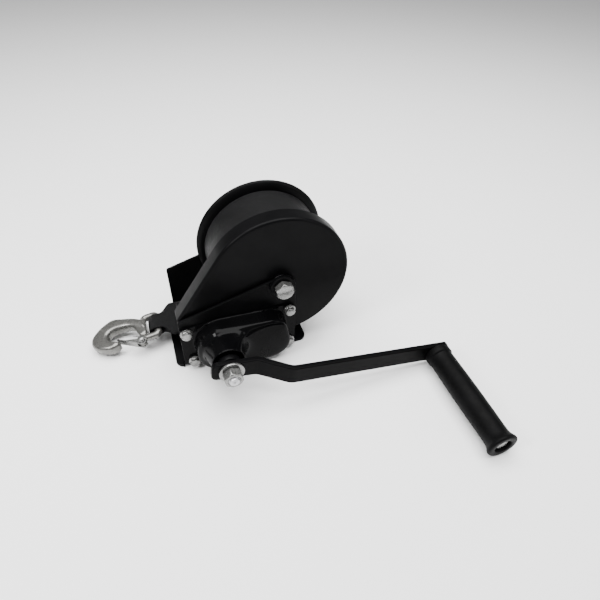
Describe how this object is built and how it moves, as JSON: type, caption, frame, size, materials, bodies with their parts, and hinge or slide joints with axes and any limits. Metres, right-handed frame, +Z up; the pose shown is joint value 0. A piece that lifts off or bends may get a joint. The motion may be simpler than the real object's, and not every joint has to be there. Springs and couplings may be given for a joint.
{
  "type": "boat trailer winch",
  "caption": "Boat trailer winch: folded steel frame, geared drum with wound webbing strap, brake under a cover, crank arm with a turning grip, and a latched snap hook on the strap.",
  "frame": {"origin": "centre of the base plate's lower face, which bolts to the winch post", "axes": "+X along the base, away from the side the strap leaves on; +Y along the drum axle, away from the crank; +Z up, off the base"},
  "size_m": [0.3838, 0.3065, 0.1714],
  "materials": {
    "black_coat": "satin black powder coat on steel",
    "gloss_coat": "glossy black coat on pressed steel",
    "zinc": "bright zinc plate on steel",
    "steel": "machined, lightly oiled",
    "bronze": "oiled sintered bronze",
    "lining": "moulded brake lining",
    "plastic": "black moulded plastic, matte",
    "webbing": "woven polyester webbing, black"
  },
  "bodies": {
    "frame": {"frame_channel": "black_coat", "gear_guard": "black_coat", "brake_cover": "gloss_coat", "cover_bolt_1": "zinc", "cover_bolt_2": "zinc", "cover_bolt_3": "zinc", "cover_bolt_4": "zinc", "cover_nut_1": "zinc", "cover_nut_2": "zinc", "cover_nut_3": "zinc", "cover_nut_4": "zinc", "axle_bolt": "zinc", "axle_spacer": "black_coat", "axle_washer": "zinc", "axle_nut": "zinc", "axle_sleeve": "steel", "shaft_bush_near": "bronze", "shaft_bush_far": "bronze", "pawl_pin": "steel", "pawl_clip": "zinc", "pawl_spring": "zinc", "strap_lead": "webbing"},
    "drum": {"drum_flange_near": "black_coat", "drum_flange_far": "black_coat", "drum_barrel": "steel", "drum_gear": "steel", "drum_rivet_1": "steel", "drum_rivet_2": "steel", "drum_rivet_3": "steel", "drum_rivet_4": "steel", "strap_anchor_pin": "steel", "drum_bush_near": "bronze", "drum_bush_far": "bronze", "strap_roll": "webbing"},
    "crank": {"crank_shaft": "steel", "pinion": "steel", "brake_hub": "steel", "friction_disc_inner": "lining", "friction_disc_outer": "lining", "crank_hub": "black_coat", "shaft_washer": "zinc", "shaft_clip": "steel", "crank_washer": "zinc", "crank_nut": "zinc", "crank_arm": "black_coat", "grip_spindle": "zinc", "grip_washer": "zinc"},
    "grip": {"handle_grip": "plastic"},
    "ratchet": {"ratchet_wheel": "steel", "ratchet_bush": "bronze"},
    "pawl": {"pawl": "steel"},
    "hook": {"hook_body": "zinc", "latch_rivet": "zinc"},
    "latch": {"hook_latch": "zinc", "latch_spring": "zinc"}
  },
  "joints": [
    {"name": "drum_spin", "type": "hinge", "parent": "frame", "child": "drum", "pos_m": [0.0443, 0, 0.0946], "axis": [0, 1, 0], "continuous": true},
    {"name": "crank_spin", "type": "hinge", "parent": "frame", "child": "crank", "pos_m": [-0.0249, 0, 0.04524], "axis": [0, 1, 0], "continuous": true},
    {"name": "grip_spin", "type": "hinge", "parent": "crank", "child": "grip", "pos_m": [0.20527, -0.18, 0.01616], "axis": [0, 1, 0], "continuous": true},
    {"name": "ratchet_spin", "type": "hinge", "parent": "frame", "child": "ratchet", "pos_m": [-0.0249, -0.058, 0.04524], "axis": [0, 1, 0], "continuous": true},
    {"name": "pawl_pivot", "type": "hinge", "parent": "frame", "child": "pawl", "pos_m": [0.00515, -0.058, 0.02454], "axis": [0, -1, 0], "range_deg": [0, 9], "stiffness_Nm_per_rad": 0.02, "springref_deg": -17.19, "deforming": ["pawl_spring"]},
    {"name": "hook_swing", "type": "hinge", "parent": "frame", "child": "hook", "pos_m": [-0.0885, 0.008, 0.021], "axis": [0, 1, 0], "range_deg": [-75, 100]},
    {"name": "latch_pivot", "type": "hinge", "parent": "hook", "child": "latch", "pos_m": [-0.10666, -0.0135, 0.01748], "axis": [0.1905, 0, -0.9817], "range_deg": [0, 28], "stiffness_Nm_per_rad": 0.02, "springref_deg": -17.19, "deforming": ["latch_spring"]}
  ],
  "couplings": [
    {"joint": "crank_spin", "follows": "drum_spin", "ratio": -4.6667}
  ]
}
